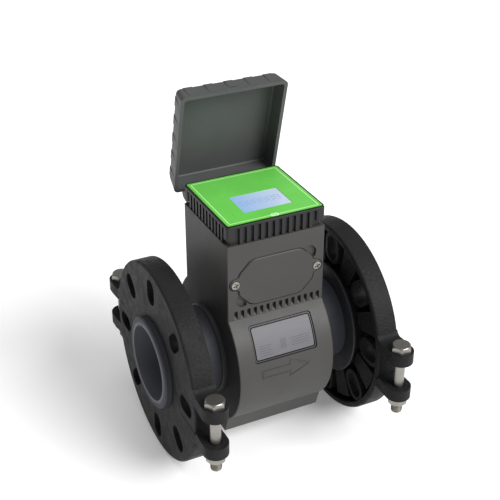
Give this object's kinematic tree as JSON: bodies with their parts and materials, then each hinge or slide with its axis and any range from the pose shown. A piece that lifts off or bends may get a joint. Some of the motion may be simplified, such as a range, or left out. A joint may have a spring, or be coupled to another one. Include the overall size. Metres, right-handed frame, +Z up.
{
  "type": "electromagnetic flow meter",
  "caption": "In-line flow meter: flow tube with split clamp flanges, drum and tower housing, ribbed display head under a hinged lid.",
  "frame": {"origin": "on the flow tube's axis, half-way between its two ends", "axes": "+X along the pipe in the flow direction, +Y to the lid's hinge, +Z up through the display tower"},
  "size_m": [0.225, 0.26, 0.3466],
  "materials": {
    "tube_steel": "satin",
    "liner_rubber": "smooth",
    "housing_plastic": "fine texture",
    "bezel_plastic": "fine texture",
    "lid_plastic": "fine texture",
    "flange_coating": "black coating",
    "stainless": "bright",
    "face_green": "glossy",
    "lcd_glass": "glossy",
    "plate_metal": "satin",
    "seal_rubber": "smooth",
    "magnet_steel": "plain",
    "copper_winding": "enamelled",
    "board": "solder resist",
    "battery_wrap": "shrink wrap",
    "terminal_plastic": "plain"
  },
  "bodies": {
    "meter": {"battery_pack": "battery_wrap", "circuit_board": "board", "clamp_bolt_left_front": "stainless", "clamp_bolt_left_rear": "stainless", "clamp_bolt_right_front": "stainless", "clamp_bolt_right_rear": "stainless", "clamp_nut_left_front": "stainless", "clamp_nut_left_rear": "stainless", "clamp_nut_right_front": "stainless", "clamp_nut_right_rear": "stainless", "coil_lower": "copper_winding", "coil_upper": "copper_winding", "collar_left": "tube_steel", "collar_right": "tube_steel", "cover_gasket": "seal_rubber", "cover_screw_left": "stainless", "cover_screw_right": "stainless", "display_bezel": "bezel_plastic", "display_faceplate": "face_green", "electrode_front": "stainless", "electrode_rear": "stainless", "flange_left_lower": "flange_coating", "flange_left_upper": "flange_coating", "flange_right_lower": "flange_coating", "flange_right_upper": "flange_coating", "hinge_pin": "stainless", "housing": "housing_plastic", "lcd_module": "lcd_glass", "magnet_yoke": "magnet_steel", "measuring_tube": "tube_steel", "name_plate": "plate_metal", "neck_seal_left": "seal_rubber", "neck_seal_right": "seal_rubber", "pole_shoe_lower": "magnet_steel", "pole_shoe_upper": "magnet_steel", "terminal_block": "terminal_plastic", "terminal_cover": "housing_plastic", "tube_liner": "liner_rubber"},
    "lid": {"lid": "lid_plastic"}
  },
  "joints": [
    {"name": "lid_hinge", "type": "hinge", "parent": "meter", "child": "lid", "pos_m": [0, 0.0605, 0.1317], "axis": [1, 0, 0], "range_deg": [-29.3, 75.7]}
  ]
}
